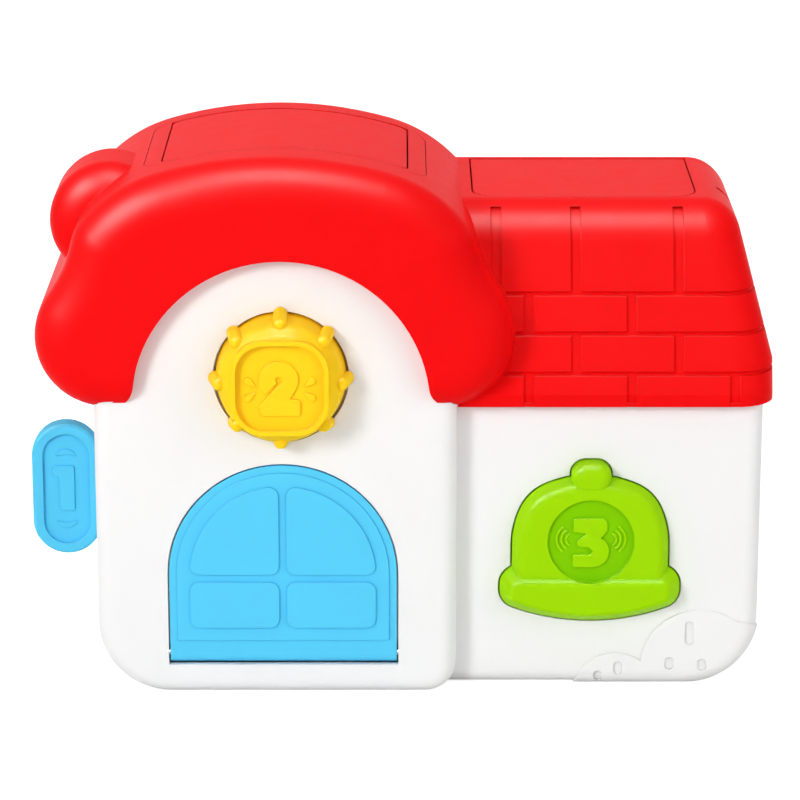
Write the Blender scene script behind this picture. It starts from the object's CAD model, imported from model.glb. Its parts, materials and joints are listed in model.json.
"""Looks of the pop-up animal house: its finishes, raised figures, animal faces, studio and camera."""

import json
import logging
import math
from dataclasses import dataclass, field
from enum import Enum

import bmesh
import bpy
from mathutils import Matrix, Vector


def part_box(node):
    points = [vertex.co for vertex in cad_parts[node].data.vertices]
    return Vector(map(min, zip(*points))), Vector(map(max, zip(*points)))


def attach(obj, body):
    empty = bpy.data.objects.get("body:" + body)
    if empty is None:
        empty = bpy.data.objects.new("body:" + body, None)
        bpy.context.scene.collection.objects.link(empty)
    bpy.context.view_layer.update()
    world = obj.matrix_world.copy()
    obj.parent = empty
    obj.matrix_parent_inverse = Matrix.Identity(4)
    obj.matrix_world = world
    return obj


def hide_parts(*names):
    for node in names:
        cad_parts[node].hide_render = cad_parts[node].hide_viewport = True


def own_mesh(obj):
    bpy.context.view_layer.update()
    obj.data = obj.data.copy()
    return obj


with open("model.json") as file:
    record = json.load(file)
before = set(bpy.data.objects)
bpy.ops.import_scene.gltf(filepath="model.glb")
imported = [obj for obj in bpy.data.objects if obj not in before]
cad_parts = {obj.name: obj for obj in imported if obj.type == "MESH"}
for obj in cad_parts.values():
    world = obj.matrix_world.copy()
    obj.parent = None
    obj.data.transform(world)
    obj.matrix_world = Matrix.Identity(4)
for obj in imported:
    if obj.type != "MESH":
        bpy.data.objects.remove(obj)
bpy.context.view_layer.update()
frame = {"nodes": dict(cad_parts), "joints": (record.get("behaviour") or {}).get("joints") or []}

LOG = logging.getLogger("popup_house")
MM = 0.001
WELD = 0.00001  # distance at which two points of a mesh are joined, in metres
SHARP = 35.0  # angle from which an edge is drawn sharp, in degrees
MIX_A, MIX_RESULT = 6, 2  # a Mix node's first input and its output for colours
WHITE = (1.0, 1.0, 1.0, 1.0)

Colour = tuple[float, float, float]
Point = tuple[float, float, float]


class Facing(Enum):
    """The side of the toy that a raised figure looks to."""

    FRONT = 0.0
    BACK = 180.0


class Side(Enum):
    """Left and right, seen from the front."""

    LEFT = -1
    RIGHT = 1


class Along(Enum):
    """The direction in which a spring lies."""

    X = 0
    Y = 1
    Z = 2


class End(Enum):
    """The end of a spring that stays where it is."""

    LOW = "low"
    HIGH = "high"


# ------------------------------ finishes
class NodeTree:
    """Short ways to add and feed shader nodes."""

    def __init__(self, tree: bpy.types.NodeTree) -> None:
        """Starts from an empty tree.

        Args:
            tree: The material's or world's node tree.
        """
        self.tree = tree
        self.tree.nodes.clear()

    def feed(self, socket: bpy.types.NodeSocket, value: object) -> None:
        """Wires another node's output to an input, or sets the input's value.

        Args:
            socket: The input.
            value: The output, or the value.
        """
        if isinstance(value, bpy.types.NodeSocket):
            self.tree.links.new(value, socket)
        else:
            socket.default_value = value

    def add(self, kind: str, *feeds: object, start: int = 0, **values: object) -> bpy.types.Node:
        """Adds a node, sets its properties and feeds its inputs.

        Args:
            kind: The node's type name, without the ShaderNode prefix.
            feeds: What goes into inputs that share a name, in order.
            start: Number of the first of those inputs.
            values: Properties, and what goes into inputs by name, with spaces written as underscores.

        Returns:
            The new node.
        """
        node = self.tree.nodes.new("ShaderNode" + kind)
        for name, value in values.items():
            if hasattr(node, name):
                setattr(node, name, value)
            else:
                self.feed(node.inputs[name.replace("_", " ")], value)
        for at, value in enumerate(feeds, start):
            self.feed(node.inputs[at], value)
        return node

    def mixed(
        self, share: bpy.types.NodeSocket, first: object, second: object, blend: str = "MIX"
    ) -> bpy.types.NodeSocket:
        """Mixes two colours.

        Args:
            share: The share of the second colour.
            first: A colour, or the output that gives it.
            second: The colour that is mixed in.
            blend: How it is mixed in.

        Returns:
            The output with the mixed colour.
        """
        mix = self.add("Mix", first, second, start=MIX_A, data_type="RGBA", blend_type=blend, Factor=share)
        return mix.outputs[MIX_RESULT]


def blank_material(name: str) -> tuple[bpy.types.Material, NodeTree]:
    """Makes a material without any nodes.

    Args:
        name: The material's name.

    Returns:
        The material and its node tree.
    """
    material = bpy.data.materials.new(name)
    material.use_nodes = True
    return material, NodeTree(material.node_tree)


@dataclass(frozen=True)
class Well:
    """A round floor that looks to the front and shows in a deeper tone, in metres."""

    middle: Point
    radius: float
    share: float  # share by which the colour deepens there
    rim: float = 0.0003  # width over which the tone sets in
    step: tuple[float, float] = (-0.0006, -0.0001)  # where it sets in before the floor

    def deepen(
        self,
        nodes: NodeTree,
        place: bpy.types.NodeSocket,
        tone: bpy.types.NodeSocket,
        colour: Colour,
    ) -> bpy.types.NodeSocket:
        """Deepens a colour on the floor.

        Args:
            nodes: The material's tree.
            place: The output with the texture coordinates.
            tone: The output with the colour.
            colour: The colour that it is multiplied by.

        Returns:
            The output with the colour, deeper on the floor.
        """
        offset = nodes.add("VectorMath", place, self.middle, operation="SUBTRACT")
        apart = nodes.add("SeparateXYZ", Vector=offset.outputs["Vector"]).outputs
        flat = nodes.add("CombineXYZ", X=apart["X"], Z=apart["Z"])
        reach = nodes.add("VectorMath", flat.outputs["Vector"], operation="LENGTH").outputs["Value"]
        inside = nodes.add("MapRange", Value=reach, From_Min=self.radius, From_Max=self.radius - self.rim)
        depth = nodes.add("MapRange", Value=apart["Y"], From_Min=self.step[0], From_Max=self.step[1])
        both = nodes.add("Math", inside.outputs["Result"], depth.outputs["Result"], operation="MULTIPLY")
        share = nodes.add("Math", both.outputs[0], self.share, operation="MULTIPLY")
        return nodes.mixed(share.outputs[0], tone, (*colour, 1.0), "MULTIPLY")


@dataclass(frozen=True)
class MouldedPlastic:
    """Injection-moulded plastic: a plain colour with faint clouds, a fine mould grain and soft edges."""

    name: str
    colour: Colour
    roughness: float = 0.30
    cloud: float = 0.035  # share by which the colour deepens in the clouds
    cloud_size: float = 38.0  # clouds to the metre
    grain: float = 0.000012  # height of the mould's grain, in metres
    grain_size: float = 2600.0  # grains to the metre
    shine: float = 0.018  # specular level
    smear: float = 0.14  # share by which the roughness wavers
    smear_size: float = 152.0  # smears to the metre
    refraction: float = 1.46
    coat: float = 0.0
    coat_roughness: float = 0.12
    edge: float = 0.00035  # radius by which sharp edges are softened
    recess: float = 0.42  # share by which the colour deepens in recesses
    recess_reach: float = 0.006  # how far their walls reach, in metres
    well: Well | None = None

    def material(self) -> bpy.types.Material:
        """Builds the finish.

        Returns:
            The node-based material.
        """
        material, nodes = blank_material(self.name)
        place = nodes.add("TexCoord").outputs["Object"]
        cloud = nodes.add("TexNoise", Vector=place, Scale=self.cloud_size, Detail=3.0, Roughness=0.55)
        smear = nodes.add("TexNoise", Vector=place, Scale=self.smear_size, Detail=4.0, Roughness=0.6)
        grain = nodes.add("TexNoise", Vector=place, Scale=self.grain_size, Detail=2.0, Roughness=0.5)
        clouded = (*(part * (1 - self.cloud) for part in self.colour), 1.0)
        tone = nodes.mixed(cloud.outputs["Fac"], clouded, (*self.colour, 1.0))
        shelter = nodes.add("AmbientOcclusion", samples=6, Distance=self.recess_reach)
        depth = nodes.add("MapRange", Value=shelter.outputs["AO"], To_Min=self.recess, To_Max=0.0)
        sunk = (*(part * part for part in self.colour), 1.0)
        tone = nodes.mixed(depth.outputs["Result"], tone, sunk, "MULTIPLY")
        if self.well is not None:
            tone = self.well.deepen(nodes, place, tone, self.colour)
        least, most = self.roughness * (1 - self.smear), self.roughness * (1 + self.smear)
        gloss = nodes.add("MapRange", Value=smear.outputs["Fac"], To_Min=least, To_Max=most)
        soft = nodes.add("Bevel", samples=4, Radius=self.edge)
        bump = nodes.add("Bump", Height=grain.outputs["Fac"], Strength=0.6, Distance=self.grain)
        nodes.feed(bump.inputs["Normal"], soft.outputs["Normal"])
        shader = nodes.add(
            "BsdfPrincipled",
            Base_Color=tone,
            Roughness=gloss.outputs["Result"],
            Normal=bump.outputs["Normal"],
            IOR=self.refraction,
            Specular_IOR_Level=self.shine,
            Coat_Weight=self.coat,
            Coat_Roughness=self.coat_roughness,
        )
        nodes.add("OutputMaterial", Surface=shader.outputs["BSDF"])
        return material


@dataclass(frozen=True)
class PlatedSteel:
    """Zinc-plated steel: bright metal with fine drawn lines and faint stains."""

    name: str = "plated_steel"
    colour: Colour = (0.62, 0.62, 0.63)
    roughness: float = 0.34
    waver: tuple[float, float] = (0.8, 1.3)  # least and most roughness, as shares
    lines: Point = (400.0, 5200.0, 400.0)  # drawn lines to the metre, along X, Y and Z
    line_depth: float = 0.00001  # metres
    stain: float = 0.8  # share of the colour that is left in a stain
    stain_size: float = 240.0  # stains to the metre

    def material(self) -> bpy.types.Material:
        """Builds the finish.

        Returns:
            The node-based material.
        """
        material, nodes = blank_material(self.name)
        place = nodes.add("TexCoord").outputs["Object"]
        stretch = nodes.add("Mapping", Vector=place, Scale=self.lines)
        lines = nodes.add("TexNoise", Vector=stretch.outputs["Vector"], Scale=1.0, Detail=3.0)
        stain = nodes.add("TexNoise", Vector=place, Scale=self.stain_size, Detail=4.0).outputs["Fac"]
        stained = (*(part * self.stain for part in self.colour), 1.0)
        tone = nodes.mixed(stain, stained, (*self.colour, 1.0))
        least, most = (self.roughness * share for share in self.waver)
        gloss = nodes.add("MapRange", Value=stain, To_Min=least, To_Max=most)
        bump = nodes.add("Bump", Height=lines.outputs["Fac"], Strength=0.3, Distance=self.line_depth)
        shader = nodes.add(
            "BsdfPrincipled",
            Base_Color=tone,
            Metallic=1.0,
            Roughness=gloss.outputs["Result"],
            Normal=bump.outputs["Normal"],
        )
        nodes.add("OutputMaterial", Surface=shader.outputs["BSDF"])
        return material


Finish = MouldedPlastic | PlatedSteel

ROOF_RED = MouldedPlastic("roof_red", (0.87, 0.004, 0.005), roughness=0.38, cloud=0.05)
TUB_RED = MouldedPlastic("tub_red", (0.84, 0.006, 0.007), roughness=0.36)
HOUSE_WHITE = MouldedPlastic("house_white", (0.88, 0.875, 0.875), roughness=0.36, cloud=0.02)
TUB_WHITE = MouldedPlastic("tub_white", (0.86, 0.855, 0.855), roughness=0.38, cloud=0.02)
INNER_WHITE = MouldedPlastic("inner_white", (0.78, 0.78, 0.78), roughness=0.5)
DOOR_BLUE = MouldedPlastic("door_blue", (0.10, 0.60, 0.90), roughness=0.36)
KNOB_YELLOW = MouldedPlastic("knob_yellow", (0.98, 0.66, 0.015), roughness=0.36)
BELL_GREEN = MouldedPlastic("bell_green", (0.34, 0.70, 0.002), roughness=0.36)
BELL_DISC = Well((0.051, -0.0465, 0.050), radius=0.0137, share=0.52)
BELL_CAP = MouldedPlastic("bell_cap", BELL_GREEN.colour, roughness=0.36, well=BELL_DISC)
PADDLE_BLUE = MouldedPlastic("paddle_blue", (0.10, 0.60, 0.90), roughness=0.36)
BEAR_BROWN = MouldedPlastic("bear_brown", (0.42, 0.19, 0.07), roughness=0.38)
RABBIT_WHITE = MouldedPlastic("rabbit_white", (0.86, 0.83, 0.83), roughness=0.38)
CHICK_YELLOW = MouldedPlastic("chick_yellow", (0.98, 0.70, 0.06), roughness=0.38)
SNOUT_CREAM = MouldedPlastic("snout_cream", (0.90, 0.74, 0.52), roughness=0.4)
BEAK_ORANGE = MouldedPlastic("beak_orange", (0.95, 0.28, 0.02), roughness=0.36)
EAR_PINK = MouldedPlastic("ear_pink", (0.90, 0.42, 0.45), roughness=0.42)
EYE_BLACK = MouldedPlastic("eye_black", (0.012, 0.010, 0.010), roughness=0.12, coat=0.02, grain=0.000002)
STEEL = PlatedSteel()


class Paints:
    """The finishes as materials, each made once."""

    def __init__(self) -> None:
        """Starts with no material made."""
        self.made: dict[str, bpy.types.Material] = {}

    def of(self, finish: Finish) -> bpy.types.Material:
        """Gives a finish's material.

        Args:
            finish: The finish.

        Returns:
            Its one material.
        """
        if finish.name not in self.made:
            self.made[finish.name] = finish.material()
        return self.made[finish.name]

    def dress(self, node: str, finish: Finish) -> None:
        """Gives a moulded part of the frame its finish.

        Args:
            node: The part's name.
            finish: Its finish.
        """
        for spot in frame["nodes"][node].material_slots:
            spot.material = self.of(finish)
        LOG.info("%s finished in %s", node, finish.name)


def shown(name: str, data: bpy.types.ID) -> bpy.types.Object:
    """Makes an object and links it to the scene.

    Args:
        name: The object's name.
        data: Its mesh, curve, lamp or camera.

    Returns:
        The new object.
    """
    thing = bpy.data.objects.new(name, data)
    bpy.context.scene.collection.objects.link(thing)
    return thing


# ------------------------------ flat outlines and raised figures
@dataclass
class Outline:
    """A closed flat outline of corners, each with its own radius, in millimetres."""

    corners: list[Point] = field(default_factory=list)
    arc_step: float = 7.5  # degrees from one point of an arc to the next
    arc_least: int = 4  # least number of steps
    corner_step: float = 12.0
    corner_least: int = 3

    def corner(self, x: float, z: float, radius: float = 0.0) -> "Outline":
        """Adds a corner.

        Args:
            x: Place to the right of the figure's middle.
            z: Place above the figure's middle.
            radius: Radius that rounds the corner.

        Returns:
            The outline itself.
        """
        self.corners.append((x, z, radius))
        return self

    def arc(self, x: float, z: float, radius: float, start: float, end: float) -> "Outline":
        """Adds an arc about a centre.

        Args:
            x: The centre's place to the right of the figure's middle.
            z: The centre's place above the figure's middle.
            radius: The arc's radius.
            start: Angle at which it starts, in degrees from the right.
            end: Angle at which it ends.

        Returns:
            The outline itself.
        """
        steps = max(self.arc_least, round(abs(end - start) / self.arc_step))
        for step in range(steps + 1):
            angle = math.radians(start + (end - start) * step / steps)
            self.corner(x + radius * math.cos(angle), z + radius * math.sin(angle))
        return self

    def points(self) -> list[Vector]:
        """Works out the outline with its corners rounded.

        Returns:
            Points along the outline, in metres.
        """
        found: list[Vector] = []
        for at, (x, z, radius) in enumerate(self.corners):
            here = Vector((x, z))
            if radius == 0.0:
                found.append(here * MM)
                continue
            before = (Vector(self.corners[at - 1][:2]) - here).normalized()
            after = (Vector(self.corners[(at + 1) % len(self.corners)][:2]) - here).normalized()
            half = before.angle(after) / 2
            reach = radius / math.tan(half)
            centre = here + (before + after).normalized() * radius / math.sin(half)
            first, last = here + before * reach - centre, here + after * reach - centre
            turn = first.angle_signed(last)
            steps = max(self.corner_least, round(abs(math.degrees(turn)) / self.corner_step))
            for step in range(steps + 1):
                bend = -turn * step / steps
                right = first.x * math.cos(bend) - first.y * math.sin(bend)
                up = first.x * math.sin(bend) + first.y * math.cos(bend)
                found.append((centre + Vector((right, up))) * MM)
        return found


@dataclass
class Relief:
    """A raised figure with rounded edges that stands on a flat face."""

    name: str
    outlines: list[Outline]
    height: float = 0.6  # above the face, in millimetres
    edge: float = 0.28  # radius of its edges
    root: float = 0.3  # depth to which it is rooted in the face

    def build(self, middle: Point, facing: Facing, finish: bpy.types.Material) -> bpy.types.Object:
        """Raises the figure on its face.

        Args:
            middle: The figure's middle on the face, in millimetres.
            facing: The side that it looks to.
            finish: Its material.

        Returns:
            The new mesh object, in place.
        """
        curve = bpy.data.curves.new(self.name + "_outline", "CURVE")
        curve.dimensions = "2D"
        curve.fill_mode = "BOTH"
        curve.bevel_depth = self.edge * MM
        curve.bevel_resolution = 3
        curve.offset = -self.edge * MM
        curve.extrude = ((self.height + self.root) / 2 - self.edge) * MM
        for outline in self.outlines:
            points = outline.points()
            spline = curve.splines.new("POLY")
            spline.points.add(len(points) - 1)
            for spot, point in zip(spline.points, points):
                spot.co = (point.x, point.y, 0.0, 1.0)
            spline.use_cyclic_u = True
        shape = shown(self.name + "_shape", curve)
        bpy.context.view_layer.update()
        solid = shape.evaluated_get(bpy.context.evaluated_depsgraph_get())
        mesh = bpy.data.meshes.new_from_object(solid)
        bpy.data.objects.remove(shape)
        lift = Matrix.Translation((0.0, 0.0, (self.height - self.root) / 2 * MM))
        turn = Matrix.Rotation(math.radians(facing.value), 4, "Z")
        stand = Matrix.Rotation(math.radians(90), 4, "X")
        mesh.transform(Matrix.Translation(Vector(middle) * MM) @ turn @ stand @ lift)
        return placed(self.name, mesh, finish)


def placed(name: str, mesh: bpy.types.Mesh, finish: bpy.types.Material) -> bpy.types.Object:
    """Puts a mesh into the scene as one smooth piece.

    Args:
        name: The piece's name.
        mesh: Its mesh, in place.
        finish: Its material.

    Returns:
        The new object.
    """
    work = bmesh.new()
    work.from_mesh(mesh)
    bmesh.ops.remove_doubles(work, verts=work.verts, dist=WELD)
    bmesh.ops.recalc_face_normals(work, faces=work.faces)
    work.to_mesh(mesh)
    work.free()
    mesh.name = name
    mesh.materials.clear()
    mesh.materials.append(finish)
    mesh.polygons.foreach_set("use_smooth", [True] * len(mesh.polygons))
    mesh.set_sharp_from_angle(angle=math.radians(SHARP))
    return shown(name, mesh)


def bead(name: str, radii: Point, matrix: Matrix, finish: bpy.types.Material) -> bpy.types.Object:
    """A small domed bead, such as an eye, a nose or a cheek.

    Args:
        name: The piece's name.
        radii: Its three half sizes, in millimetres, before it is turned.
        matrix: Turns and places it, in metres.
        finish: Its material.

    Returns:
        The new object.
    """
    mesh = bpy.data.meshes.new(name)
    work = bmesh.new()
    bmesh.ops.create_uvsphere(work, u_segments=32, v_segments=18, radius=1.0)
    bmesh.ops.scale(work, vec=Vector(radii) * MM, verts=work.verts)
    bmesh.ops.transform(work, matrix=matrix, verts=work.verts)
    work.to_mesh(mesh)
    work.free()
    return placed(name, mesh, finish)


def settle(piece: bpy.types.Object, body: str) -> bpy.types.Object:
    """Lets a piece ride on its body and names the slot that its finish comes from.

    Args:
        piece: The piece, in place.
        body: The body that carries it.

    Returns:
        The piece.
    """
    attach(piece, body)
    LOG.info("%s rides on %s", piece.name, body)
    return piece


def direction(part: int) -> Vector:
    """The unit vector along X, Y or Z, by its number."""
    return Vector([float(at == part) for at in range(3)])


# ------------------------------ walls, roof, tubs and ironwork
@dataclass
class House:
    """The two wall shells, the two roof halves, the three tubs and the hidden guide."""

    walls: tuple[str, ...] = ("front_shell", "back_shell")
    roofs: tuple[str, ...] = ("roof_front", "roof_back", "attic_tub", "arch_lid", "side_lid")
    inner: tuple[str, ...] = ("latch_guide", "knob_shaft", "arch_latch", "bell_arm", "carriage")

    def dress(self, paints: Paints) -> None:
        """Finishes the moulded parts.

        Args:
            paints: The finishes' materials.
        """
        for node in self.walls:
            paints.dress(node, HOUSE_WHITE)
        for node in self.roofs:
            paints.dress(node, ROOF_RED)
        for node in self.inner:
            paints.dress(node, INNER_WHITE)
        paints.dress("side_tub", TUB_RED)
        paints.dress("porch_tub", TUB_WHITE)
        paints.dress("door", DOOR_BLUE)
        paints.dress("knob", KNOB_YELLOW)
        paints.dress("bell_button", BELL_CAP)
        paints.dress("paddle", PADDLE_BLUE)


@dataclass
class Ironwork:
    """The finish of screws, pins and springs."""

    endings: tuple[str, ...] = ("_screw", "_screws", "_pin", "_spring")

    def dress(self, paints: Paints) -> None:
        """Finishes every steel part.

        Args:
            paints: The finishes' materials.
        """
        for node in sorted(frame["nodes"]):
            if node.endswith(self.endings):
                paints.dress(node, STEEL)


@dataclass
class WoundSpring:
    """A spring wound from round wire, in the place of its ring-by-ring form."""

    node: str
    body: str
    along: Along
    wire: float  # thickness of the wire, in millimetres
    turns: float
    tight: float = 0.0  # turns at each end that lie on each other
    slack: float = 1.03  # pitch of those turns as a share of the wire's thickness
    section: int = 12  # corners round the wire
    stations: int = 20  # stations to a turn

    def height(self, turn: float, length: float) -> float:
        """Finds how far along the axis the wire's middle has come.

        Args:
            turn: Turns from the wire's start.
            length: The spring's length, in millimetres.

        Returns:
            The distance from the spring's low end, in millimetres.
        """
        close = self.wire * self.slack
        open_turns = self.turns - 2 * self.tight
        pitch = (length - self.wire - 2 * self.tight * close) / open_turns
        middle = min(max(turn - self.tight, 0.0), open_turns)
        return self.wire / 2 + close * (turn - middle) + pitch * middle

    def wind(self, low: Vector, high: Vector) -> bpy.types.Mesh:
        """Winds the wire between two corners of the spring's box.

        Args:
            low: The box's lowest corner, in metres.
            high: The box's highest corner, in metres.

        Returns:
            The wire's mesh, in place.
        """
        size = (high - low) / MM
        length = size[self.along.value]
        across = [part.value for part in Along if part is not self.along]
        radius = (max(size[part] for part in across) - self.wire) / 2
        along = direction(self.along.value)
        first, second = (direction(part) for part in across)
        foot = (low + high) / 2 - along * length / 2 * MM
        work = bmesh.new()
        rings: list[list[bmesh.types.BMVert]] = []
        count = round(self.turns * self.stations)
        for station in range(count + 1):
            turn = self.turns * station / count
            angle = math.tau * turn
            out = first * math.cos(angle) + second * math.sin(angle)
            middle = foot + (out * radius + along * self.height(turn, length)) * MM
            ring: list[bmesh.types.BMVert] = []
            for corner in range(self.section):
                round_wire = math.tau * corner / self.section
                reach = out * math.cos(round_wire) + along * math.sin(round_wire)
                ring.append(work.verts.new(middle + reach * self.wire / 2 * MM))
            rings.append(ring)
        for ring, following in zip(rings, rings[1:]):
            for corner in range(self.section):
                onward = (corner + 1) % self.section
                work.faces.new((ring[corner], ring[onward], following[onward], following[corner]))
        work.faces.new(rings[0])
        work.faces.new(rings[-1])
        mesh = bpy.data.meshes.new(self.node + "_wire")
        work.to_mesh(mesh)
        work.free()
        return mesh

    def build(self, paints: Paints) -> bpy.types.Object:
        """Winds the spring and puts it in its place.

        Args:
            paints: The finishes' materials.

        Returns:
            The new object.
        """
        wire = placed(self.node + "_wire", self.wind(*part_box(self.node)), paints.of(STEEL))
        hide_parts(self.node)
        return settle(wire, self.body)


@dataclass
class PushSpring(WoundSpring):
    """A wound spring that a sliding control presses together."""

    joint: str = ""
    travel: float = 0.0  # how far the control presses it, in millimetres
    fixed: End = End.LOW

    def build(self, paints: Paints) -> bpy.types.Object:
        """Winds the spring and lets its joint press it against its fixed end.

        Args:
            paints: The finishes' materials.

        Returns:
            The new object.
        """
        wire = super().build(paints)
        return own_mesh(wire)


@dataclass
class Springs:
    """The torsion springs at the hinges and on the knob's shaft, and the two push springs."""

    hinges: tuple[tuple[str, str], ...] = (
        ("arch_lid_spring", "arch_cover"),
        ("side_lid_spring", "side_cover"),
        ("door_spring", "door_cover"),
    )
    thin: float = 0.8  # thickness of the wire, in millimetres
    thick: float = 1.2
    hinge_turns: float = 6.0
    knob_turns: float = 5.0
    bell_turns: float = 7.0
    bell_travel: float = 4.0
    paddle_turns: float = 9.0
    paddle_travel: float = 8.0
    tight: float = 1.0  # turns at each end of a push spring that lie on each other

    def build(self, paints: Paints) -> None:
        """Winds every spring.

        Args:
            paints: The finishes' materials.
        """
        for node, body in self.hinges:
            WoundSpring(node, body, Along.X, self.thin, self.hinge_turns).build(paints)
        WoundSpring("knob_spring", "house", Along.Y, self.thick, self.knob_turns).build(paints)
        press = {"tight": self.tight, "joint": "bell_push", "travel": self.bell_travel, "fixed": End.HIGH}
        PushSpring("bell_spring", "house", Along.Y, self.thick, self.bell_turns, **press).build(paints)
        press = {"tight": self.tight, "joint": "paddle_slide", "travel": self.paddle_travel}
        PushSpring("paddle_spring", "house", Along.Z, self.thin, self.paddle_turns, **press).build(paints)


@dataclass
class Eave:
    """The low sills that close the brick joints at the eave of the hip roof."""

    front_y: float = -46.0
    right_x: float = 108.2
    foot_z: float = 94.0
    front_joints: tuple[float, ...] = (29.4, 61.6, 93.8)  # left ends of the front face's joints
    right_joints: tuple[float, ...] = (-13.8, 18.4)  # front ends of the right face's joints
    width: float = 3.2
    depth: float = 0.9
    rise: float = 1.3
    sunk: float = 0.06  # how far a sill lies behind the bricks' faces
    overlap: float = 0.1  # how far it reaches into the bricks at each end
    lift: float = 0.02  # how far its foot lies above the roof's foot

    def sill(self, name: str, low: Point, size: Point, paints: Paints) -> None:
        """Makes one sill.

        Args:
            name: The sill's name.
            low: Its lowest corner, in millimetres.
            size: Its three sizes, in millimetres.
            paints: The finishes' materials.
        """
        mesh = bpy.data.meshes.new(name)
        work = bmesh.new()
        bmesh.ops.create_cube(work, size=1.0)
        bmesh.ops.scale(work, vec=Vector(size) * MM, verts=work.verts)
        bmesh.ops.translate(work, vec=(Vector(low) + Vector(size) / 2) * MM, verts=work.verts)
        work.to_mesh(mesh)
        work.free()
        settle(placed(name, mesh, paints.of(ROOF_RED)), "house")

    def build(self, paints: Paints) -> None:
        """Closes the joints on the front and on the right face.

        Args:
            paints: The finishes' materials.
        """
        along, thick = self.width + 2 * self.overlap, self.depth - self.sunk
        foot = self.foot_z + self.lift
        for at, x in enumerate(self.front_joints):
            low = (x - self.overlap, self.front_y + self.sunk, foot)
            self.sill(f"eave_sill_front_{at}", low, (along, thick, self.rise), paints)
        for at, y in enumerate(self.right_joints):
            low = (self.right_x - self.depth, y - self.overlap, foot)
            self.sill(f"eave_sill_right_{at}", low, (thick, along, self.rise), paints)


# ------------------------------ raised figures on the controls
@dataclass
class KnobFace:
    """The figure 2 inside the knob's ring, with two drops on each side of it."""

    ring_raise: float = 1.6
    ring_floor: float = 0.6
    bowl_x: float = -0.35
    bowl_z: float = 2.85
    bowl_radius: float = 6.1
    eye_radius: float = 0.95
    drop_x: float = 9.8
    drop_z: float = 2.65
    drop_lift: float = -0.2
    lower: float = 0.5  # the figure's middle below the knob's middle
    drop_round: float = 1.25
    drop_length: float = 3.5
    drop_tilt: float = 38.0
    two_raise: float = 0.75  # height of the figure above the floor
    drop_raise: float = 0.6
    edge: float = 0.3

    def middle(self) -> Point:
        """Finds the middle of the floor inside the ring.

        Returns:
            Its place, in millimetres.
        """
        low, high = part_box("knob")
        floor_y = low.y / MM + self.ring_raise + self.ring_floor
        return ((low.x + high.x) / 2 / MM, floor_y, (low.z + high.z) / 2 / MM - self.lower)

    def figure(self) -> Outline:
        """Draws the figure 2, with the narrow slit from its eye down to the left.

        Returns:
            Its outline.
        """
        two = Outline()
        two.arc(self.bowl_x, self.bowl_z, self.bowl_radius, 224, -33)
        two.corner(3.1, -3.2, 0.25).corner(6.35, -3.55, 0.8).corner(6.35, -8.75, 0.8)
        two.corner(-6.3, -8.75, 1.6).corner(-6.35, -5.5, 1.2)
        two.arc(self.bowl_x, self.bowl_z, self.eye_radius, -41, 241)
        two.corner(-4.15, -1.75, 0.6)
        return two

    def drop(self, side: Side, level: int) -> Outline:
        """Draws one drop, its point towards the figure.

        Args:
            side: The side of the figure.
            level: 1 for the upper one, -1 for the lower one.

        Returns:
            Its outline.
        """
        lean = math.radians(self.drop_tilt * level)
        spread = math.degrees(math.acos(self.drop_round / self.drop_length))
        centre = (self.drop_x, self.drop_z * level + self.drop_lift)
        tip_angle = 180.0 + math.degrees(lean)
        tip = (
            centre[0] + self.drop_length * math.cos(math.radians(tip_angle)),
            centre[1] + self.drop_length * math.sin(math.radians(tip_angle)),
        )
        shape = Outline().arc(*centre, self.drop_round, tip_angle + spread, tip_angle + 360 - spread)
        shape.corner(*tip, 0.3)
        return Outline([(side.value * x, z, radius) for x, z, radius in shape.corners])

    def build(self, paints: Paints) -> None:
        """Raises the figure and its drops on the knob.

        Args:
            paints: The finishes' materials.
        """
        middle = self.middle()
        finish = paints.of(KNOB_YELLOW)
        two = Relief("knob_two", [self.figure()], self.two_raise, self.edge)
        settle(two.build(middle, Facing.FRONT, finish), "knob_set")
        shapes = [self.drop(side, level) for side in Side for level in (1, -1)]
        drops = Relief("knob_drops", shapes, self.drop_raise, self.edge)
        settle(drops.build(middle, Facing.FRONT, finish), "knob_set")


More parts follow.
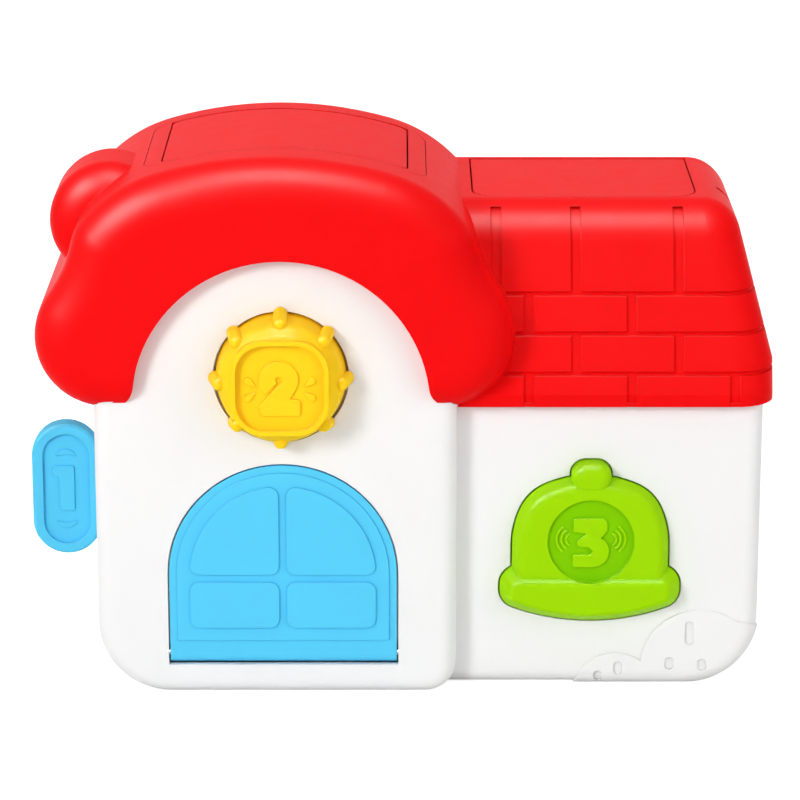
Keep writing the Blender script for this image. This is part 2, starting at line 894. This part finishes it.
@dataclass
class BellFace:
    """The figure 3 on the bell's disc, with three sound arcs on each side."""

    x: float = 51.0
    z: float = 50.0
    floor_below_brim: float = 2.5
    drop: float = 0.6  # the figure's middle below the disc's middle
    bowl_z: float = -2.75
    bowl_radius: float = 5.3
    arc_x: float = 5.95
    arc_z: float = 1.25
    arc_radii: tuple[float, ...] = (2.0, 3.45, 4.95)
    arc_half: tuple[float, ...] = (60.0, 56.0, 52.0)
    arc_width: float = 0.8
    three_raise: float = 0.75  # height of the figure above the floor
    three_edge: float = 0.3
    arc_raise: float = 0.45
    arc_edge: float = 0.22

    def figure(self) -> Outline:
        """Draws the figure 3.

        Returns:
            Its outline.
        """
        three = Outline()
        three.corner(-5.65, 8.3, 0.7).corner(5.2, 8.3, 2.2).corner(5.25, 4.2, 2.0).corner(3.1, 1.6, 0.2)
        three.arc(0.55, self.bowl_z, self.bowl_radius, 52, -90)
        three.corner(-5.65, -8.05, 1.0).corner(-5.65, -3.75, 0.6).corner(-0.2, -3.75, 0.5)
        three.corner(0.55, -2.7, 0.45).corner(-0.7, -1.35, 0.9).corner(-4.1, -1.3, 1.0)
        three.corner(-4.3, 0.9, 1.0).corner(-1.4, 3.3, 0.25).corner(-5.65, 3.6, 0.6)
        return three

    def sound_arc(self, side: Side, radius: float, half: float) -> Outline:
        """Draws one sound arc.

        Args:
            side: The side of the figure.
            radius: The arc's middle radius.
            half: Half of the angle that it covers, in degrees.

        Returns:
            Its outline.
        """
        outer, inner = radius + self.arc_width / 2, radius - self.arc_width / 2
        shape = Outline().arc(self.arc_x, self.arc_z, outer, -half, half)
        end, start = math.radians(half), math.radians(-half)
        end_at = (self.arc_x + radius * math.cos(end), self.arc_z + radius * math.sin(end))
        shape.arc(*end_at, self.arc_width / 2, half, half + 180)
        shape.arc(self.arc_x, self.arc_z, inner, half, -half)
        start_at = (self.arc_x + radius * math.cos(start), self.arc_z + radius * math.sin(start))
        shape.arc(*start_at, self.arc_width / 2, 180 - half, 360 - half)
        return Outline([(side.value * x, z, r) for x, z, r in shape.corners])

    def build(self, paints: Paints) -> None:
        """Raises the figure and its arcs on the bell.

        Args:
            paints: The finishes' materials.
        """
        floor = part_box("bell_button")[0].y / MM + self.floor_below_brim
        middle = (self.x, floor, self.z - self.drop)
        finish = paints.of(BELL_GREEN)
        three = Relief("bell_three", [self.figure()], self.three_raise, self.three_edge)
        settle(three.build(middle, Facing.FRONT, finish), "bell")
        sizes = list(zip(self.arc_radii, self.arc_half))
        rings = [self.sound_arc(side, radius, half) for side in Side for radius, half in sizes]
        arcs = Relief("bell_arcs", rings, self.arc_raise, self.arc_edge)
        settle(arcs.build(middle, Facing.FRONT, finish), "bell")


@dataclass
class PaddleFace:
    """The figure 1 in the recess on each face of the paddle, with a crescent above and below it."""

    recess: float = 1.0
    half_width: float = 11.2
    crescent_z: float = 11.1
    crescent_half: float = 3.35
    crescent_rise: float = 2.4
    crescent_dip: float = 0.5
    one_raise: float = 0.6  # height of the figure above the recess's floor
    one_edge: float = 0.28
    crescent_raise: float = 0.5
    crescent_edge: float = 0.22

    def figure(self) -> Outline:
        """Draws the figure 1.

        Returns:
            Its outline.
        """
        one = Outline()
        one.corner(-4.3, 7.8, 0.9).corner(2.6, 7.8, 0.8).corner(2.7, -7.6, 0.8)
        return one.corner(-2.2, -7.6, 1.1).corner(-2.5, 4.2, 0.3).corner(-4.5, 4.4, 0.9)

    def crescent(self, level: int) -> Outline:
        """Draws one crescent, its back away from the figure.

        Args:
            level: 1 for the upper one, -1 for the lower one.

        Returns:
            Its outline.
        """
        shape = Outline()
        for rise, order in ((self.crescent_rise, 1), (self.crescent_dip, -1)):
            radius = (self.crescent_half**2 + rise**2) / (2 * rise)
            half = math.degrees(math.asin(self.crescent_half / radius))
            shape.arc(0.0, self.crescent_z + rise - radius, radius, 90 + half * order, 90 - half * order)
        return Outline([(x, level * z, radius) for x, z, radius in shape.corners])

    def build(self, paints: Paints) -> None:
        """Raises the figures on both faces of the paddle.

        Args:
            paints: The finishes' materials.
        """
        low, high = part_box("paddle")
        height = (low.z + high.z) / 2 / MM
        finish = paints.of(PADDLE_BLUE)
        floors = {Facing.FRONT: low.y / MM + self.recess, Facing.BACK: high.y / MM - self.recess}
        for facing, y in floors.items():
            tail = facing.name.lower()
            middle = (low.x / MM + self.half_width, y, height)
            one = Relief("paddle_one_" + tail, [self.figure()], self.one_raise, self.one_edge)
            settle(one.build(middle, facing, finish), "lever")
            crescents = [self.crescent(level) for level in (1, -1)]
            marks = Relief("paddle_marks_" + tail, crescents, self.crescent_raise, self.crescent_edge)
            settle(marks.build(middle, facing, finish), "lever")


# ------------------------------ faces of the animals
@dataclass
class Animal:
    """Eyes and other small parts on a moulded animal that lies under its cover.

    Places are in millimetres in the standing animal's own frame: X to the right, Y to the back and Z up,
    from the middle of its cover's hinge.
    """

    name: str = ""
    body: str = ""
    hinge: str = ""  # its cover's joint
    lean: float = 90.0  # turn about X, in degrees, from standing to where it lies
    head: Point = (0.0, 0.0, 0.0)
    head_radius: float = 10.0
    eye_across: float = 25.0  # angle of each eye from straight ahead, in degrees
    eye_up: float = 15.0  # angle above straight ahead
    eye_radius: float = 1.4
    eye_sink: float = 0.25
    eye_shape: Point = (1.0, 1.15, 0.55)  # width, height and dome as shares of the radius

    def matrix(self) -> Matrix:
        """Finds the turn and place that lays the standing animal under its cover.

        Returns:
            The matrix, in metres.
        """
        joint = next(joint for joint in frame["joints"] if joint["name"] == self.hinge)
        return Matrix.Translation(Vector(joint["pos_m"])) @ Matrix.Rotation(math.radians(self.lean), 4, "X")

    def on_head(self, across: float, up: float, sink: float = 0.0) -> Matrix:
        """Finds a place on the head's ball.

        Args:
            across: Angle to the right of straight ahead, in degrees.
            up: Angle above straight ahead, in degrees.
            sink: How far the place lies inside the ball, in millimetres.

        Returns:
            A matrix whose Z axis points out of the head there.
        """
        turn, rise = math.radians(across), math.radians(up)
        out = Vector((math.sin(turn) * math.cos(rise), -math.cos(turn) * math.cos(rise), math.sin(rise)))
        spot = Vector(self.head) + out * (self.head_radius - sink)
        aim = out.to_track_quat("Z", "Y").to_matrix().to_4x4()
        return self.matrix() @ Matrix.Translation(spot * MM) @ aim

    def spot(self, x: float, y: float, z: float) -> Matrix:
        """A place in the standing animal's frame, turned to where the animal lies."""
        return self.matrix() @ Matrix.Translation(Vector((x, y, z)) * MM)

    def eyes(self, paints: Paints) -> None:
        """Sets two domed eyes into the head.

        Args:
            paints: The finishes' materials.
        """
        radii = tuple(self.eye_radius * share for share in self.eye_shape)
        for side in Side:
            place = self.on_head(self.eye_across * side.value, self.eye_up, self.eye_sink)
            name = f"{self.name}_eye_{side.name.lower()}"
            settle(bead(name, radii, place, paints.of(EYE_BLACK)), self.body)


@dataclass
class Bear(Animal):
    """The bear under the arched lid."""

    name: str = "bear"
    body: str = "arch_cover"
    hinge: str = "arch_lid_hinge"
    head: Point = (0.0, -8.9, 27.0)
    head_radius: float = 11.5
    eye_across: float = 24.0
    eye_up: float = 16.0
    eye_radius: float = 1.5
    nose: Point = (0.0, -21.1, 26.0)
    nose_radii: Point = (2.0, 1.0, 1.35)
    ear: Point = (8.28, -11.2, 36.8)  # the right one's middle
    ear_radii: Point = (2.7, 1.3, 2.7)

    def build(self, paints: Paints) -> None:
        """Adds eyes, nose and inner ears.

        Args:
            paints: The finishes' materials.
        """
        paints.dress("bear", BEAR_BROWN)
        paints.dress("bear_snout", SNOUT_CREAM)
        self.eyes(paints)
        nose = bead("bear_nose", self.nose_radii, self.spot(*self.nose), paints.of(EYE_BLACK))
        settle(nose, self.body)
        for side in Side:
            name = f"bear_ear_inner_{side.name.lower()}"
            place = self.spot(side.value * self.ear[0], *self.ear[1:])
            ear = bead(name, self.ear_radii, place, paints.of(SNOUT_CREAM))
            settle(ear, self.body)


@dataclass
class Rabbit(Animal):
    """The rabbit under the flat lid."""

    name: str = "rabbit"
    body: str = "side_cover"
    hinge: str = "side_lid_hinge"
    head: Point = (0.0, -6.9, 21.5)
    head_radius: float = 9.5
    eye_across: float = 26.0
    eye_up: float = 16.0
    eye_radius: float = 1.3
    nose: Point = (0.0, -16.85, 20.3)
    nose_radii: Point = (1.3, 0.8, 0.9)
    cheek_at: Point = (44.0, -10.0, 0.35)  # angles across and up, and sink
    cheek_radii: Point = (1.7, 1.3, 0.55)
    ear: Point = (4.6, -9.0, 31.4)  # the right one's middle
    ear_radii: Point = (1.3, 0.95, 3.9)
    ear_tilt: float = 7.0

    def build(self, paints: Paints) -> None:
        """Adds eyes, nose, cheeks and inner ears.

        Args:
            paints: The finishes' materials.
        """
        paints.dress("rabbit", RABBIT_WHITE)
        paints.dress("rabbit_snout", SNOUT_CREAM)
        self.eyes(paints)
        pink = paints.of(EAR_PINK)
        settle(bead("rabbit_nose", self.nose_radii, self.spot(*self.nose), pink), self.body)
        for side in Side:
            tail = side.name.lower()
            cheek = self.on_head(self.cheek_at[0] * side.value, *self.cheek_at[1:])
            settle(bead("rabbit_cheek_" + tail, self.cheek_radii, cheek, pink), self.body)
            tilt = Matrix.Rotation(math.radians(self.ear_tilt * side.value), 4, "Y")
            ear = self.spot(side.value * self.ear[0], *self.ear[1:]) @ tilt
            settle(bead("rabbit_ear_inner_" + tail, self.ear_radii, ear, pink), self.body)


@dataclass
class Chick(Animal):
    """The chick behind the door."""

    name: str = "chick"
    body: str = "door_cover"
    hinge: str = "door_hinge"
    lean: float = -90.0
    head: Point = (0.0, -26.0, 26.5)
    head_radius: float = 10.0
    eye_across: float = 34.0
    eye_up: float = 14.0
    eye_radius: float = 1.4
    cheek_at: Point = (52.0, -14.0, 0.35)  # angles across and up, and sink
    cheek_radii: Point = (1.6, 1.2, 0.55)

    def build(self, paints: Paints) -> None:
        """Adds eyes and cheeks.

        Args:
            paints: The finishes' materials.
        """
        paints.dress("chick", CHICK_YELLOW)
        paints.dress("chick_beak", BEAK_ORANGE)
        self.eyes(paints)
        for side in Side:
            name = f"chick_cheek_{side.name.lower()}"
            place = self.on_head(self.cheek_at[0] * side.value, *self.cheek_at[1:])
            cheek = bead(name, self.cheek_radii, place, paints.of(BEAK_ORANGE))
            settle(cheek, self.body)


# ------------------------------ studio
@dataclass(frozen=True)
class Lamp:
    """A square softbox that looks at the toy."""

    name: str
    place: Point
    size: float
    power: float
    sheen: bool = False  # shows in reflections alone and casts no light
    target: Point = (0.0, 0.0, 0.08)

    def build(self) -> None:
        """Hangs the softbox."""
        light = bpy.data.lights.new(self.name, "AREA")
        light.shape = "SQUARE"
        light.size = self.size
        light.energy = self.power
        lamp = shown(self.name, light)
        lamp.visible_diffuse = not self.sheen
        lamp.location = self.place
        lamp.rotation_euler = (Vector(self.target) - Vector(self.place)).to_track_quat("-Z", "Y").to_euler()
        LOG.info("softbox %s hung", self.name)


@dataclass
class Studio:
    """White floor, white room, softboxes and camera."""

    floor_size: float = 8.0
    floor_grey: float = 0.80
    floor_glow: float = 0.84
    floor_share: float = 0.42
    room_level: float = 0.49
    camera_distance: float = 1.150
    camera_pitch: float = 16.5
    target_x: float = -0.0093
    target_z: float = 0.0827
    lens: float = 158.85
    sensor: float = 36.0
    far: float = 50.0  # how far the camera sees, in metres
    lamps: tuple[Lamp, ...] = (
        Lamp("softbox_left", (-0.80, -1.00, 0.60), 0.35, 8.6),
        Lamp("softbox_right", (0.95, -0.75, 0.60), 0.7, 3.7),
        Lamp("softbox_top", (0.0, 0.25, 1.25), 0.8, 5.0),
        Lamp("sheen_left", (-0.95, -0.60, 1.05), 0.8, 500.0, sheen=True),
        Lamp("sheen_top", (-0.05, -0.35, 1.40), 0.7, 250.0, sheen=True),
    )

    def seen(self, nodes: NodeTree) -> bpy.types.NodeSocket:
        """Tells the rays that show the backdrop from those that carry light.

        Args:
            nodes: The tree to add to.

        Returns:
            A socket that is 1 for camera, glossy and transmission rays.
        """
        path = nodes.add("LightPath").outputs
        first = nodes.add("Math", path["Is Camera Ray"], path["Is Glossy Ray"], operation="MAXIMUM")
        second = nodes.add("Math", first.outputs[0], path["Is Transmission Ray"], operation="MAXIMUM")
        return second.outputs[0]

    def build_room(self) -> None:
        """Lights the room evenly and shows it white."""
        world = bpy.data.worlds.new("studio_room")
        bpy.context.scene.world = world
        world.use_nodes = True
        nodes = NodeTree(world.node_tree)
        soft = nodes.add("Background", Color=WHITE, Strength=self.room_level)
        white = nodes.add("Background", Color=WHITE, Strength=1.0)
        mix = nodes.add("MixShader", self.seen(nodes), soft.outputs[0], white.outputs[0])
        nodes.add("OutputWorld", Surface=mix.outputs[0])

    def build_floor(self) -> None:
        """Lays a matt white floor that shows the toy's soft shadow."""
        material, nodes = blank_material("studio_floor")
        grey = (self.floor_grey,) * 3 + (1.0,)
        shade = (self.floor_share,) * 3 + (1.0,)
        plain = nodes.add("BsdfDiffuse", Color=grey)
        shadow = nodes.add("BsdfDiffuse", Color=shade)
        glow = nodes.add("Emission", Color=WHITE, Strength=self.floor_glow)
        both = nodes.add("AddShader", shadow.outputs[0], glow.outputs[0])
        mix = nodes.add("MixShader", self.seen(nodes), plain.outputs[0], both.outputs[0])
        nodes.add("OutputMaterial", Surface=mix.outputs[0])
        mesh = bpy.data.meshes.new("studio_floor")
        work = bmesh.new()
        bmesh.ops.create_grid(work, x_segments=1, y_segments=1, size=self.floor_size / 2)
        work.to_mesh(mesh)
        work.free()
        mesh.materials.append(material)
        floor = shown("studio_floor", mesh)
        LOG.info("floor laid")

    def build_camera(self) -> None:
        """Sets up the camera."""
        pitch = math.radians(self.camera_pitch)
        data = bpy.data.cameras.new("camera")
        data.sensor_width = self.sensor
        data.lens = self.lens
        data.clip_end = self.far
        camera = shown("camera", data)
        camera.location = (
            self.target_x,
            -self.camera_distance * math.cos(pitch),
            self.target_z + self.camera_distance * math.sin(pitch),
        )
        camera.rotation_euler = (math.radians(90) - pitch, 0.0, 0.0)
        bpy.context.scene.camera = camera
        LOG.info("camera set up")

    def build(self) -> None:
        """Sets up the whole studio."""
        self.build_room()
        self.build_floor()
        for lamp in self.lamps:
            lamp.build()
        self.build_camera()
        bpy.context.scene.view_settings.view_transform = "Standard"


def main() -> None:
    """Dresses the toy, piece by piece, and sets up the studio."""
    logging.basicConfig(level=logging.INFO, format="%(name)s: %(message)s")
    paints = Paints()
    House().dress(paints)
    Ironwork().dress(paints)
    Springs().build(paints)
    Eave().build(paints)
    KnobFace().build(paints)
    BellFace().build(paints)
    PaddleFace().build(paints)
    Bear().build(paints)
    Rabbit().build(paints)
    Chick().build(paints)
    Studio().build()


if __name__ == "__main__":
    main()
